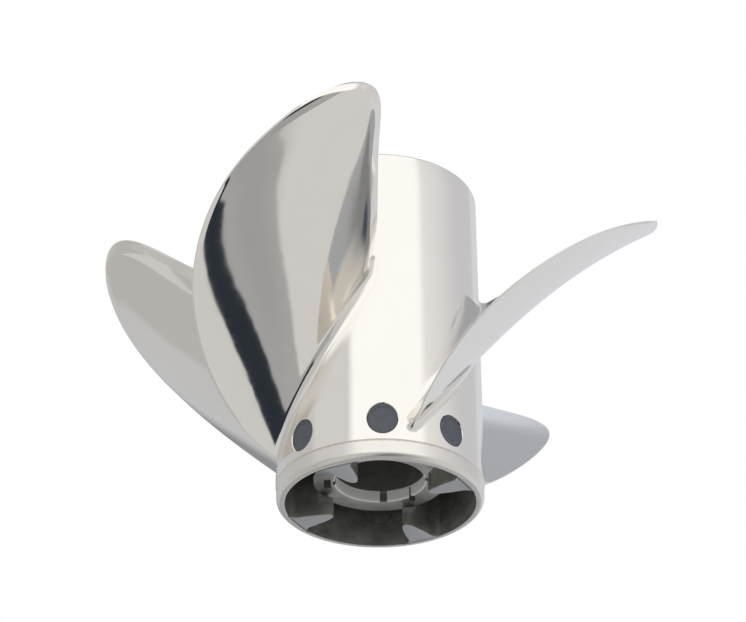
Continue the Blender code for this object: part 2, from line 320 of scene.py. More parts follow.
def object_place(tree):
    return tree.nodes.new("ShaderNodeTexCoord").outputs["Object"]


def bump(tree, shader, height, depth):
    links = [("Height", height), ("Distance", depth), ("Strength", 1.0)]
    node = add_node(tree, "ShaderNodeBump", links)
    tree.links.new(node.outputs["Normal"], shader.inputs["Normal"])


def blend_colours(tree, mask, first, second):
    """First colour where the mask is 0, second where it is 1; each a socket or (r, g, b)."""
    colours = [colour if isinstance(colour, bpy.types.NodeSocket) else (*colour, 1.0)
               for colour in (first, second)]
    links = [(0, mask), (6, colours[0]), (7, colours[1])]
    return add_node(tree, "ShaderNodeMix", links, data_type="RGBA").outputs[2]


# %% Worked steel
SCRATCH_RISE = 0.03
SMEAR_RISE = 0.03


def worked_steel(name, colour, dulled, roughness, wave_depth, stretch=(1.0, 1.0, 1.0),
                 ripple=(120.0, 0.2), metallic=1.0):
    """Steel with its ripple as (scale, share) and its scratches run along the low stretch."""
    material, tree, shader = new_material(name)
    place = object_place(tree)
    links = [("Vector", place), ("Ripple Scale", ripple[0]), ("Ripple Share", ripple[1])]
    waves = grouped(tree, WAVINESS, links)
    lines = grouped(tree, SCRATCHES, [("Vector", place), ("Stretch", stretch)])
    smears = grouped(tree, SMEARS, [("Vector", place)])
    tint = blend_colours(tree, smears.outputs["Mask"], colour, dulled)
    tree.links.new(tint, shader.inputs["Base Color"])
    wear = math_node(tree, "MULTIPLY", lines.outputs["Mask"], SCRATCH_RISE)
    dull = math_node(tree, "MULTIPLY", smears.outputs["Mask"], SMEAR_RISE)
    rise = math_node(tree, "ADD", wear, dull)
    tree.links.new(math_node(tree, "ADD", rise, roughness), shader.inputs["Roughness"])
    set_values(shader, {"Metallic": metallic})
    bump(tree, shader, waves.outputs["Height"], wave_depth)
    return material


STEEL = (0.93, 0.90, 0.85)
DULLED_STEEL = (0.91, 0.88, 0.83)
ALONG_SHAFT = (1.0, 1.0, 0.05)
barrel_steel = worked_steel(
    "polished_barrel_steel", STEEL, DULLED_STEEL, 0.07, 0.00006, ALONG_SHAFT
)
blade_steel = worked_steel(
    "polished_blade_steel", STEEL, DULLED_STEEL, 0.05, 0.00016, (0.05, 1.0, 1.0), (60.0, 0.45)
)
band_steel = worked_steel(
    "machined_band_steel", (0.88, 0.85, 0.80), (0.84, 0.81, 0.76), 0.27, 0.00001, ALONG_SHAFT
)
rim_steel = worked_steel("ground_rim_steel", (0.66, 0.64, 0.61), (0.61, 0.59, 0.56), 0.5, 0.00004)
ground_steel = worked_steel(
    "ground_rib_steel", (0.44, 0.45, 0.46), (0.36, 0.37, 0.38), 0.42, 0.00004
)
machined_steel = worked_steel(
    "machined_counterbore_steel", (0.98, 0.97, 0.94), (0.94, 0.93, 0.90), 0.62, 0.00003,
    (1.0, 1.0, 0.2), metallic=0.0
)


# %% Cast steel and plug plastic
CAST_METALLIC = 0.85
PLASTIC_ROUGHNESS = 0.42


def cast_steel(name, colour, scale_colour, roughness, depth):
    material, tree, shader = new_material(name)
    place = object_place(tree)
    grain = grouped(tree, CAST_GRAIN, [("Vector", place)])
    tint = blend_colours(tree, grain.outputs["Scale Mask"], colour, scale_colour)
    tree.links.new(tint, shader.inputs["Base Color"])
    set_values(shader, {"Roughness": roughness, "Metallic": CAST_METALLIC})
    bump(tree, shader, grain.outputs["Height"], depth)
    return material


def plug_plastic(name, colour, worn):
    material, tree, shader = new_material(name)
    place = object_place(tree)
    smears = grouped(tree, SMEARS, [("Vector", place), ("Scale", 160.0)])
    tint = blend_colours(tree, smears.outputs["Mask"], colour, worn)
    tree.links.new(tint, shader.inputs["Base Color"])
    set_values(shader, {"Roughness": PLASTIC_ROUGHNESS})
    grain = grouped(tree, CAST_GRAIN, [("Vector", place), ("Grain Scale", 1500.0)])
    bump(tree, shader, grain.outputs["Height"], 0.00002)
    return material


# One casting in three tones: the ribs' lighter colour is painted light, and the inner wall's darker
# colour is painted shade.
hub_steel = cast_steel("cast_hub_steel", (0.46, 0.46, 0.43), (0.33, 0.33, 0.31), 0.42, 0.0001)
rib_steel = cast_steel("painted_light_cast_rib_steel", (0.56, 0.56, 0.52), (0.34, 0.34, 0.31), 0.45, 0.0001)
painted_shade_inside_steel = cast_steel("painted_shade_cast_steel_inside", (0.36, 0.36, 0.345), (0.21, 0.21, 0.2), 0.6, 0.00015)
plug_finish = plug_plastic("vent_plug_plastic", (0.095, 0.108, 0.128), (0.125, 0.138, 0.158))
print("materials:", [material.name for material in bpy.data.materials])

# %% [markdown]
# ## Barrel
# The barrel is one turned form with oval holes through its wall. A turned grid is laid out as
# columns round the axis and rows along a closed profile. Round each hole a window is left out of
# the grid and filled with rings that pass from the window's rectangle to the oval, so that every
# point stays exactly on the cylinder and the reflections stay straight. Cutting the holes with a
# boolean would be shorter, but leaves long thin faces that show in a mirror finish. The rows of
# the grid also say which finish a face takes: polished outside, turned on the band, ground on the
# rim, and as cast inside, up to the polished lip of the aft end.

# %% Barrel sizes
BAND_RADIUS = BARREL_RADIUS - 0.5 * MM
BAND_HEIGHT = 10.3 * MM
GROOVE_DEPTH = 0.5 * MM
GROOVE_HALF = 0.4 * MM
EDGE = 1.0 * MM
BAND_ROUNDING = 3.4 * MM
FINE_EDGE = 0.3 * MM
PLUG_ANGLES = (1.6, 42.8)
PLUG_HEIGHT = 23.5 * MM
PLUG_HALF_WIDTH = 8.45 * MM
PLUG_HALF_HEIGHT = 9.35 * MM
HOLE_EASE = 0.35 * MM
HOLE_EASE_DEPTH = 0.4 * MM
WINDOW_DEGREES = 13.0
WINDOW_TOP = 39.5 * MM
WINDOW_COLUMNS = 26
WINDOW_ROWS = 20
RING_STEPS = 7
PROFILE_ROUND_STEPS = 14
RIM_ROWS = 4
CAST_ROWS_ABOVE_WINDOW = 9
DEGREES_PER_COLUMN = 1.3
BLADES = 4
POLISHED, CAST, TURNED, GROUND = range(4)
print("holes in mm:", round(2000 * PLUG_HALF_WIDTH, 1), "by", round(2000 * PLUG_HALF_HEIGHT, 1))


# %% Barrel profile
def barrel_profile():
    """Closed profile of (radius, height), and the rows where the windows start and end."""
    low, high = BAND_HEIGHT + GROOVE_HALF, BARREL_LENGTH - EDGE
    rounding_centre = (BAND_RADIUS - BAND_ROUNDING, BAND_ROUNDING)
    rows = quarter_round(rounding_centre, BAND_ROUNDING, -90.0, 0.0, PROFILE_ROUND_STEPS)
    rows.append((BAND_RADIUS, BAND_HEIGHT - GROOVE_HALF))
    rows.append((BAND_RADIUS - GROOVE_DEPTH, BAND_HEIGHT))
    outer_start = len(rows)
    rows += [(BARREL_RADIUS, height) for height in even_steps(low, WINDOW_TOP, WINDOW_ROWS)]
    outer_end = len(rows) - 1
    rows += [(BARREL_RADIUS, height) for height in even_steps(WINDOW_TOP, high, 12)[1:]]
    rows += quarter_round((BARREL_RADIUS - EDGE, high), EDGE, 0.0, 90.0, 5)[1:]
    rows += quarter_round((BORE_RADIUS + EDGE, high), EDGE, 90.0, 180.0, 4)
    rows += [(BORE_RADIUS, height) for height in even_steps(high, WINDOW_TOP, 10)[1:-1]]
    inner_start = len(rows)
    rows += [(BORE_RADIUS, height) for height in even_steps(WINDOW_TOP, low, WINDOW_ROWS)]
    inner_end = len(rows) - 1
    rows += quarter_round((BORE_RADIUS + FINE_EDGE, FINE_EDGE), FINE_EDGE, 180.0, 270.0, 4)
    return rows, (outer_start, outer_end), (inner_start, inner_end)


def barrel_columns():
    """Angles of the columns in degrees, and the column where each window starts."""
    turned = [angle + 90.0 * turn for turn in range(BLADES) for angle in PLUG_ANGLES]
    centres = sorted(angle % 360.0 for angle in turned)
    angles, starts = [], []
    for index, centre in enumerate(centres):
        starts.append(len(angles))
        left, right = centre - WINDOW_DEGREES, centre + WINDOW_DEGREES
        angles += even_steps(left, right, WINDOW_COLUMNS)
        following = centres[(index + 1) % len(centres)] + 360.0 * (index + 1 == len(centres))
        gap = following - WINDOW_DEGREES - right
        steps = max(2, round(gap / DEGREES_PER_COLUMN))
        angles += even_steps(right, right + gap, steps)[1:-1]
    return centres, angles, starts


print("barrel grid:", len(barrel_columns()[1]), "columns and", len(barrel_profile()[0]), "rows")


# %% Windows round the holes
def window_rim(column, first_row, last_row):
    """Grid places round a window, once round."""
    right = column + WINDOW_COLUMNS
    rim = [(place, first_row) for place in range(column, right)]
    rim += [(right, row) for row in range(first_row, last_row)]
    rim += [(place, last_row) for place in range(right, column, -1)]
    rim += [(column, row) for row in range(last_row, first_row, -1)]
    return rim


def oval_turns(rim, column, rows):
    """For each place of a window's rim, the turn of the oval's point that faces it."""
    turns = []
    middle = (BAND_HEIGHT + GROOVE_HALF + WINDOW_TOP) / 2.0
    for place, row in rim:
        across = (place - column) / WINDOW_COLUMNS * 2.0 - 1.0
        turns.append(math.atan2((rows[row][1] - middle) / (WINDOW_TOP - middle), across))
    return turns


def oval_place(turn, ease):
    """Distance across and height of a point on the hole's oval, grown by the ease."""
    across = (PLUG_HALF_WIDTH + ease) * math.cos(turn)
    return across, PLUG_HEIGHT + (PLUG_HALF_HEIGHT + ease) * math.sin(turn)


def window_ring(rim_places, turns, centre, radius, share):
    """Points on the cylinder at a share of the way from the window's rim to the oval."""
    ring = []
    for (rim_angle, rim_height), turn in zip(rim_places, turns):
        across, oval_height = oval_place(turn, HOLE_EASE)
        oval_angle = centre + math.degrees(math.asin(across / radius))
        angle = rim_angle + (oval_angle - rim_angle) * share
        height = rim_height + (oval_height - rim_height) * share
        ring.append(polar(radius, math.radians(angle), height))
    return ring


# %% Walls of the holes
def hole_loop(turns, centre, depth_from_outside):
    """Points of the hole's straight wall at a depth below the barrel's surface."""
    place = radial_place(math.radians(centre))
    radius = BARREL_RADIUS - depth_from_outside
    loop = []
    for turn in turns:
        across, height = oval_place(turn, 0.0)
        loop.append(place(across, height, math.sqrt(radius**2 - across**2)))
    return loop


def match_turns(turns, inner_turns):
    """Order of the inner loop's points that faces the outer loop's points."""
    order = []
    for turn in turns:
        gaps = [abs(math.remainder(turn - other, FULL_TURN)) for other in inner_turns]
        order.append(gaps.index(min(gaps)))
    return order


def add_hole_wall(barrel, loops, centre):
    """Joins the outer oval to the inner one by the hole's straight wall."""
    (outer_loop, turns), (inner_loop, inner_turns) = loops
    chain = [outer_loop]
    for depth in (HOLE_EASE_DEPTH, WALL - HOLE_EASE_DEPTH):
        chain.append(barrel.add_loop(hole_loop(turns, centre, depth)))
    chain.append([inner_loop[number] for number in match_turns(turns, inner_turns)])
    for here, there in zip(chain, chain[1:]):
        barrel.add_faces(ring_of_quads(here, there), POLISHED)


# %% Barrel mesh
def finish_of_row(row, outer, inner):
    """Number of the finish that the faces after a row of the profile take."""
    if row < RIM_ROWS or row > inner[1]:
        return GROUND
    if row < outer[0]:
        return TURNED
    return CAST if row >= inner[0] - CAST_ROWS_ABOVE_WINDOW else POLISHED


def make_barrel(finishes):
    rows, outer, inner = barrel_profile()
    centres, angles, starts = barrel_columns()
    barrel, numbers = GrowingSkin(), {}

    def corner(column, row):
        key = (column % len(angles), row % len(rows))
        if key not in numbers:
            radius, height = rows[key[1]]
            numbers[key] = barrel.add_loop([polar(radius, math.radians(angles[key[0]]), height)])[0]
        return numbers[key]

    window_columns = {start + step for start in starts for step in range(WINDOW_COLUMNS)}
    window_rows = {*range(*outer), *range(*inner)}
    for column in range(len(angles)):
        for row in range(len(rows)):
            if column not in window_columns or row not in window_rows:
                quad = (corner(column, row), corner(column + 1, row),
                        corner(column + 1, row + 1), corner(column, row + 1))
                barrel.add_faces([quad], finish_of_row(row, outer, inner))
    for centre, start in zip(centres, starts):
        loops = []
        for span, radius, finish in ((outer, BARREL_RADIUS, POLISHED), (inner, BORE_RADIUS, CAST)):
            rim = window_rim(start, *span)
            turns = oval_turns(rim, start, rows)
            rim_places = [(angles[column], rows[row][1]) for column, row in rim]
            here = [corner(*place) for place in rim]
            for step in range(1, RING_STEPS + 1):
                share = step / RING_STEPS
                ring = barrel.add_loop(window_ring(rim_places, turns, centre, radius, share))
                barrel.add_faces(ring_of_quads(here, ring), finish)
                here = ring
            loops.append((here, turns))
        add_hole_wall(barrel, loops, centre)
    piece = skin("polished_barrel", barrel.points, barrel.faces, finishes[POLISHED], "outer_barrel")
    add_finishes(piece, finishes[1:], barrel.finish_of_face)
    return piece


# The barrel's inside takes the cast steel that is darkened with painted shade.
barrel = make_barrel((barrel_steel, painted_shade_inside_steel, band_steel, rim_steel))

# %% [markdown]
# ## Blades
# A blade is a stack of sections, each unrolled at its own radius: a thin cambered strip with a
# rounded nose and tail, set at the pitch angle. Rake lifts the sections aft as the radius grows,
# and sweep turns them back. Near the root the sections grow outwards along a quarter circle,
# which is the fillet that runs into the barrel. Many sections and many points make reflections
# smooth. The face that looks forward carries the picture: it is slightly hollow, it is cupped at
# the tail, and polishing has bent its last millimetres away at the outer leading edge, which
# draws the bright line round the blade. Each of these is a function of the place on the section,
# from -1 at the nose to 1 at the tail, and of the share of the way from the barrel to the tip.

# %% Blade sizes
TIP_RADIUS = 166.6 * MM
PITCH = 557.7 * MM
SWEEP = (-37.08, -33.87, -29.68, -22.56, -13.83)
HALF_SPAN = (34.01, 34.36, 30.69, 26.68, 23.26)
RAKE = (71.7 * MM, 90.3 * MM, 111.8 * MM, 136.8 * MM, 164.3 * MM)
TIP_FULLNESS = 5.42
CAMBER = 0.0264
CAMBER_AT_TIP = 0.0202
CAMBER_POWER = 3
EASING = 3.08 * MM
EASING_START = -0.416
EASING_ACROSS = (0.35, -0.35)
EASING_FROM = 0.841
EASING_TO = 1.137
CUP = 3.4 * MM
CUP_START = 0.70
CUP_START_GROWTH = 0.175
CUP_START_LATEST = 0.9
CUP_FULL_HALF_CHORD = 30.0 * MM
LIP_WIDTH = 5.0 * MM
LIP_WIDTH_AT_ROOT = 13.0 * MM
LIP_WIDTH_POWER = 2.2
LIP_LARGEST_SHARE = 0.5
LIP_BEND = 0.15
ROOT_THICKNESS = 6.8 * MM
TIP_THICKNESS = 1.6 * MM
SWELL_POWER = 2.2
EDGE_THICKNESS = 1.3 * MM
EDGE_ROUNDING = 0.45 * MM
EDGE_ROUNDING_WIDTH = 4.0 * MM
EDGE_ROUNDING_POWER = 3
EDGE_ROUNDING_END = (0.87, 0.95)
EDGE_ROUNDING_ACROSS = (0.0, 0.5)
SUCTION_FILLET_AT_NOSE = 3.5 * MM
SUCTION_FILLET_GROWN = 7.0 * MM
SUCTION_FILLET_AT_TAIL = 3.0 * MM
PRESSURE_FILLET_AT_TAIL = 6.5 * MM
TAIL_FILLET_START = 0.8
PRESSURE_FILLET = 8.5 * MM
ROOT_SINK = 0.05 * MM
CHORD_STEPS = 84
SPAN_STEPS = 96
SPAN_POWER = 1.8
TIP_GAP = 0.03 * MM
FILLET_STEPS = 12
NOSE_STEPS = 5
BLADE_SHARP_DEGREES = 60.0
print("across the tips in mm:", round(2000 * TIP_RADIUS, 1), "pitch in mm:", round(1000 * PITCH, 1))


# %% Curves of the blade
def through_stations(values, share):
    """The smooth curve through five evenly spaced values, read at a share from 0 to 1."""
    last = len(values) - 1
    total = 0.0
    for index, value in enumerate(values):
        weight = 1.0
        for other in range(len(values)):
            if other != index:
                weight *= (share * last - other) / (index - other)
        total += weight * value
    return total


def chord_places(shares):
    """From -1 at the leading edge to 1 at the trailing edge, closer together near both."""
    return (2.0 * shares - 1.0 - np.cos(np.pi * shares)) / 2.0


# %% Cup, easing and rounding of the face
def cup_height(places, share, half_chord):
    """How far the suction side curls aft towards the tail: a slow curl, a crease, a flat lip."""
    start = min(CUP_START_LATEST, CUP_START + CUP_START_GROWTH * share)
    reach = (1.0 - start) * half_chord
    widest = LIP_WIDTH + LIP_WIDTH_AT_ROOT * (1.0 - share)**LIP_WIDTH_POWER
    lip = min(widest, LIP_LARGEST_SHARE * reach)
    curl = reach - lip
    height = CUP * min(1.0, half_chord / CUP_FULL_HALF_CHORD)
    steepness = (height - lip * LIP_BEND) / (curl**2 + 2.0 * curl * lip)
    beyond = np.maximum(0.0, (places - start) * half_chord)
    slow = np.minimum(beyond, curl)
    sharp = np.maximum(0.0, beyond - curl)
    return steepness * slow**2 + (2.0 * steepness * curl + LIP_BEND) * sharp


def smooth_step(values, start, end):
    """0 before the start, 1 after the end, and a smooth rise between them."""
    rise = np.clip((values - start) / (end - start), 0.0, 1.0)
    return rise * rise * (3.0 - 2.0 * rise)


def edge_easing(across, share):
    """How far the suction side turns away near the outer leading edge and the tip."""
    nearness = across**2 + share**TIP_FULLNESS
    near_edge = np.maximum(0.0, (nearness - EASING_START) / (1.0 - EASING_START))**2
    leading = 1.0 - smooth_step(across, EASING_ACROSS[1], EASING_ACROSS[0])
    return EASING * smooth_step(share, EASING_FROM, EASING_TO) * leading * near_edge


def edge_rounding(across, share, full_half_chord):
    """How far the suction side rounds over towards the outline of the blade, except at the tail."""
    nearness = across**2 + share**TIP_FULLNESS
    rise_outwards = TIP_FULLNESS * share**(TIP_FULLNESS - 1.0) / (TIP_RADIUS - BARREL_RADIUS)
    steepness = np.hypot(2.0 * across / full_half_chord, rise_outwards)
    inside = np.maximum(0.0, 1.0 - nearness) / np.maximum(steepness, 1.0e-6)
    turned = np.maximum(0.0, 1.0 - inside / EDGE_ROUNDING_WIDTH)**EDGE_ROUNDING_POWER
    lower = 1.0 - smooth_step(share, *EDGE_ROUNDING_END)
    return EDGE_ROUNDING * turned * lower * (1.0 - smooth_step(across, *EDGE_ROUNDING_ACROSS))


# %% Blade section
def blade_section(radius):
    """Unrolled section at a radius: an array of (arc, height), nose first, then suction side."""
    share = max(0.0, (radius - BARREL_RADIUS) / (TIP_RADIUS - BARREL_RADIUS))
    pitch_angle = math.atan2(PITCH, 2.0 * math.pi * radius)
    along = np.array((math.cos(pitch_angle), math.sin(pitch_angle)))
    normal = np.array((-along[1], along[0]))
    centre = np.array((
        radius * math.radians(through_stations(SWEEP, share)),
        through_stations(RAKE, share),
    ))
    rounding = math.sqrt(max(0.0, 1.0 - share**TIP_FULLNESS))
    full_half_chord = math.radians(through_stations(HALF_SPAN, share)) * radius / along[0]
    half_chord = full_half_chord * rounding - EDGE_THICKNESS / 2.0
    thickest = ROOT_THICKNESS + (TIP_THICKNESS - ROOT_THICKNESS) * share
    places = chord_places(np.linspace(0.0, 1.0, CHORD_STEPS + 1))
    across = rounding * places
    camber = CAMBER + (CAMBER_AT_TIP - CAMBER) * share**CAMBER_POWER
    dish = -camber * 2.0 * full_half_chord * (1.0 - across**2)
    curl = cup_height(places, share, half_chord)
    cup = curl - curl[-1] * (1.0 + places) / 2.0
    swell = (thickest - EDGE_THICKNESS) * (1.0 - np.abs(places)**SWELL_POWER)
    face = dish + cup - edge_easing(across, share)
    suction = face + edge_rounding(across, share, full_half_chord)
    pressure = face + EDGE_THICKNESS + np.maximum(0.0, swell)
    turns = np.linspace(0.0, np.pi, NOSE_STEPS + 2)[1:-1]
    half_edge = (EDGE_THICKNESS - EDGE_ROUNDING) / 2.0
    nose_out = -half_chord - half_edge * np.sin(turns)
    nose_up = suction[0] + half_edge * (1.0 + np.cos(turns))
    tail_out = half_chord + half_edge * np.sin(turns)
    tail_up = suction[-1] + half_edge * (1.0 - np.cos(turns))
    chordwise = np.concatenate((nose_out, half_chord * places, tail_out, half_chord * places[::-1]))
    offsets = np.concatenate((nose_up, suction, tail_up, pressure[::-1]))
    return centre + chordwise[:, None] * along + offsets[:, None] * normal


halfway = 1000 * np.ptp(blade_section((BARREL_RADIUS + TIP_RADIUS) / 2.0), axis=0)
print("section halfway out, in mm along the arc and the shaft:", halfway.round(1))


# %% Root fillet
def fillet_radii():
    """Fillet radius at each point of a section, in the order of the section's points."""
    along = (1.0 + chord_places(np.linspace(0.0, 1.0, CHORD_STEPS + 1))) / 2.0
    near_tail = np.maximum(0.0, (along - TAIL_FILLET_START) / (1.0 - TAIL_FILLET_START))**2
    suction = SUCTION_FILLET_AT_NOSE + (SUCTION_FILLET_GROWN - SUCTION_FILLET_AT_NOSE) * along**2
    suction += (SUCTION_FILLET_AT_TAIL - suction) * near_tail
    pressure = PRESSURE_FILLET + (PRESSURE_FILLET_AT_TAIL - PRESSURE_FILLET) * near_tail
    nose = np.linspace(PRESSURE_FILLET, SUCTION_FILLET_AT_NOSE, NOSE_STEPS + 2)[1:-1]
    tail = np.linspace(SUCTION_FILLET_AT_TAIL, PRESSURE_FILLET_AT_TAIL, NOSE_STEPS + 2)[1:-1]
    return np.concatenate((nose, suction, tail, pressure[::-1]))


def flared(section, height):
    """The section grown outwards where it lies within the fillet, height above the barrel."""
    fillet = fillet_radii()
    within = np.clip(fillet - height, 0.0, None)
    growth = fillet - np.sqrt(fillet**2 - within**2)
    step = np.roll(section, -1, axis=0) - np.roll(section, 1, axis=0)
    step /= np.linalg.norm(step, axis=1)[:, None]
    outward = np.stack((step[:, 1], -step[:, 0]), axis=1)
    return section + growth[:, None] * outward


def blade_radii():
    root = BARREL_RADIUS - ROOT_SINK
    largest = max(SUCTION_FILLET_GROWN, PRESSURE_FILLET)
    turns = np.linspace(0.0, np.pi / 2.0, FILLET_STEPS, endpoint=False)
    fillet_rows = root + largest * (1.0 - np.cos(turns))
    shares = 1.0 - (1.0 - np.linspace(0.0, 1.0, SPAN_STEPS + 1))**SPAN_POWER
    tip = TIP_RADIUS - TIP_GAP
    start = root + largest
    return np.concatenate((fillet_rows, start + (tip - start) * shares))


fillets = 1000 * fillet_radii()
print("fillets in mm:", round(fillets.min(), 1), "to", round(fillets.max(), 1))


# %% Blade mesh
def make_blade(number, finish):
    turn = FULL_TURN / BLADES * (number - 1)
    radii = blade_radii()
    rows = []
    for radius in radii:
        section = flared(blade_section(radius), radius - radii[0])
        angles = turn + section[:, 0] / radius
        ring = (radius * np.cos(angles), radius * np.sin(angles), section[:, 1])
        rows.append(np.stack(ring, axis=1))
    faces = wrapped_and_closed(loops_of(len(rows[0]), len(rows)))
    name = f"polished_blade_{number}"
    return skin(name, np.concatenate(rows), faces, finish, f"blade_{number}", BLADE_SHARP_DEGREES)


blades = [make_blade(number, blade_steel) for number in range(1, BLADES + 1)]

# %% [markdown]
# ## Inner hub and ribs
# The inner hub is the tube that carries the shaft. It is cast, with a machined counterbore, a
# keyway at each quarter and two slots that balance the casting. Four ribs stand on it and hold it
# in the barrel: blunt wedges, ground off flush with the rim, that flare where they meet the
# barrel. Cast walls are never quite even, so their points are pushed in and out a little by
# smooth noise. The hub is a turned grid like the barrel, in which the columns of a keyway lie
# deeper. Only the two slots are cut with a boolean, because they follow no column, and no
# reflection runs across them.

# %% Hub sizes
COUNTERBORE_RADIUS = 25.5 * MM
COUNTERBORE_DEPTH = 6.5 * MM
COUNTERBORE_LIP = ((0.25, 0.25), (0.9, 0.0))
SHELF_STEP = 0.02 * MM
SHAFT_BORE_RADIUS = 24.95 * MM
SHOULDER_RADIUS = 17.0 * MM
SHOULDER_LENGTH = 14.0 * MM
KEYWAY_ANGLE = 86.0
KEYWAY_WIDTH = 4.0 * MM
KEYWAY_DEPTH = 1.2 * MM
KEYWAYS = 4
KEYWAY_WALL = 0.05 * MM
HUB_COLUMNS = 192
HUB_BEVEL = 0.8 * MM
HUB_FACE_START = 28.0 * MM
CAST_UNEVENNESS = 0.12 * MM
BALANCE_SLOTS = ((-29.8, 2.6, 1.9, 5.0), (18.2, 22.0, 1.7, 3.3))
BALANCE_SLOT_DEPTH = 6.0 * MM
CUTTER_REACH = 2.0 * MM


# %% Hub profile and columns
def hub_profile():
    """Closed profile of (radius, height, cut by a keyway) from the front face outwards."""
    shelf = HUB_FRONT + COUNTERBORE_DEPTH
    shoulder = HUB_AFT - SHOULDER_LENGTH
    edge, low, high = HUB_RADIUS - HUB_BEVEL, HUB_FRONT + HUB_BEVEL, HUB_AFT - HUB_BEVEL
    cast = [(radius, HUB_FRONT) for radius in even_steps(HUB_FACE_START, edge, 8)]
    cast += quarter_round((edge, low), HUB_BEVEL, -90.0, 0.0, 4)[1:]
    cast += [(HUB_RADIUS, height) for height in even_steps(low, high, 30)[1:]]
    cast += quarter_round((edge, high), HUB_BEVEL, 0.0, 90.0, 4)[1:]
    cast += [(radius, HUB_AFT) for radius in even_steps(edge, SHOULDER_RADIUS, 6)[1:]]
    cast += [(SHOULDER_RADIUS, shoulder), (SHAFT_BORE_RADIUS, shoulder), (SHAFT_BORE_RADIUS, shelf)]
    turned = [(COUNTERBORE_RADIUS, shelf + SHELF_STEP)]
    turned += [(COUNTERBORE_RADIUS, height) for height in even_steps(shelf, low, 6)]
    turned += [(COUNTERBORE_RADIUS + share * HUB_BEVEL, HUB_FRONT + rise * HUB_BEVEL)
               for share, rise in COUNTERBORE_LIP]
    return [(*place, False) for place in cast] + [(*place, True) for place in turned]


def hub_columns():
    """Angles in radians; pairs of columns lie close together at each keyway's two walls."""
    half = math.asin(KEYWAY_WIDTH / 2.0 / COUNTERBORE_RADIUS)
    wall = KEYWAY_WALL / COUNTERBORE_RADIUS
    angles = []
    for key in range(KEYWAYS):
        centre = math.radians(KEYWAY_ANGLE) + FULL_TURN / KEYWAYS * key
        angles += [(centre - half - wall, False), (centre - half, True)]
        angles += [(centre, True), (centre + half, True)]
        start = centre + half + wall
        end = centre + FULL_TURN / KEYWAYS - half - wall
        angles += [(angle, False) for angle in even_steps(start, end, HUB_COLUMNS // KEYWAYS)[:-1]]
    return angles


print("hub grid:", len(hub_columns()), "columns and", len(hub_profile()), "rows")


# %% Slots cut into the hub
def slot_cutter():
    """Two upright boxes that reach into the hub's front face."""
    points, faces = [], []
    for x, y, half_x, half_y in BALANCE_SLOTS:
        loops = []
        for height in (HUB_FRONT - CUTTER_REACH, HUB_FRONT + BALANCE_SLOT_DEPTH):
            loops.append(list(range(len(points), len(points) + 4)))
            for side_x, side_y in SQUARE:
                points.append(((x + side_x * half_x) * MM, (y + side_y * half_y) * MM, height))
        faces += wrapped_and_closed(loops)
    mesh = bpy.data.meshes.new("slot_cutter")
    mesh.from_pydata(points, [], faces)
    return in_scene("slot_cutter", mesh)


def cut_away(piece, cutter):
    """Cuts the piece's mesh with the cutter, then removes the cutter."""
    boolean = piece.modifiers.new("cut", "BOOLEAN")
    boolean.operation = "DIFFERENCE"
    boolean.solver = "EXACT"
    boolean.object = cutter
    evaluated = piece.evaluated_get(bpy.context.evaluated_depsgraph_get())
    result = bpy.data.meshes.new_from_object(evaluated)
    piece.modifiers.clear()
    piece.data = result
    bpy.data.objects.remove(cutter, do_unlink=True)


# %% Hub mesh
def make_hub(finish, machined_finish):
    rows = hub_profile()
    columns = hub_columns()
    points, faces, finish_of_face = [], [], []
    for angle, in_keyway in columns:
        for radius, height, is_turned in rows:
            deeper = KEYWAY_DEPTH if in_keyway and is_turned else 0.0
            points.append(polar(radius + deeper, angle, height))
    for column in range(len(columns)):
        here = column * len(rows)
        there = (column + 1) % len(columns) * len(rows)
        for row in range(len(rows)):
            after = (row + 1) % len(rows)
            faces.append((here + row, there + row, there + after, here + after))
            in_keyway = columns[column][1] or columns[(column + 1) % len(columns)][1]
            finish_of_face.append(int(rows[row][2] and rows[after][2] and not in_keyway))
    piece = skin("cast_inner_hub", points, faces, finish, "inner_hub")
    add_finishes(piece, [machined_finish], finish_of_face)
    cut_away(piece, slot_cutter())
    return piece


hub = make_hub(hub_steel, machined_steel)

# %% Rib sizes
RIB_ANGLE = 63.0
RIBS = 4
RIB_NOSE_RADIUS = 30.2 * MM
RIB_HALF_THICKNESS = 7.6 * MM
RIB_TAPER = 0.44
RIB_FILLET = 5.0 * MM
RIB_AFT = BARREL_LENGTH - 30.0 * MM
RIB_SINK = 0.1 * MM
RIB_STEPS = 40
RIB_ARC_STEPS = 20
RIB_LAYERS = 28
RIB_LAYER_POWER = 1.4
RIB_EDGE = 0.35 * MM
RIB_EDGE_STEPS = 3
UNEVEN_ACROSS = 6.0 * MM
UNEVEN_ALONG = 25.0 * MM


# %% Rib outline
def rib_half_thickness(radius):
    """Half thickness at a radius: a blunt wedge, plus the fillet where it meets the barrel."""
    share = (radius - RIB_NOSE_RADIUS) / (BORE_RADIUS - RIB_NOSE_RADIUS)
    into_fillet = np.clip(RIB_FILLET - (BORE_RADIUS - radius), 0.0, RIB_FILLET)
    fillet = RIB_FILLET - np.sqrt(RIB_FILLET**2 - into_fillet**2)
    return RIB_HALF_THICKNESS * share**RIB_TAPER + fillet


def rib_outline(angle):
    """Plan outline as an array of (x, y), anticlockwise from the nose."""
    outer = BORE_RADIUS + RIB_SINK
    shares = np.linspace(0.0, 1.0, RIB_STEPS + 1)
    radii = RIB_NOSE_RADIUS + (outer - RIB_NOSE_RADIUS) * (1.0 - np.cos(np.pi * shares)) / 2.0
    radii = np.minimum(radii, outer)
    half_angles = np.arcsin(rib_half_thickness(np.minimum(radii, BORE_RADIUS)) / radii)
    arc = np.linspace(-half_angles[-1], half_angles[-1], RIB_ARC_STEPS + 1)[1:-1]
    turns = np.concatenate((angle - half_angles, angle + arc, angle + half_angles[:0:-1]))
    reach = np.concatenate((radii, np.full(RIB_ARC_STEPS - 1, outer), radii[:0:-1]))
    return np.stack((reach * np.cos(turns), reach * np.sin(turns)), axis=1)


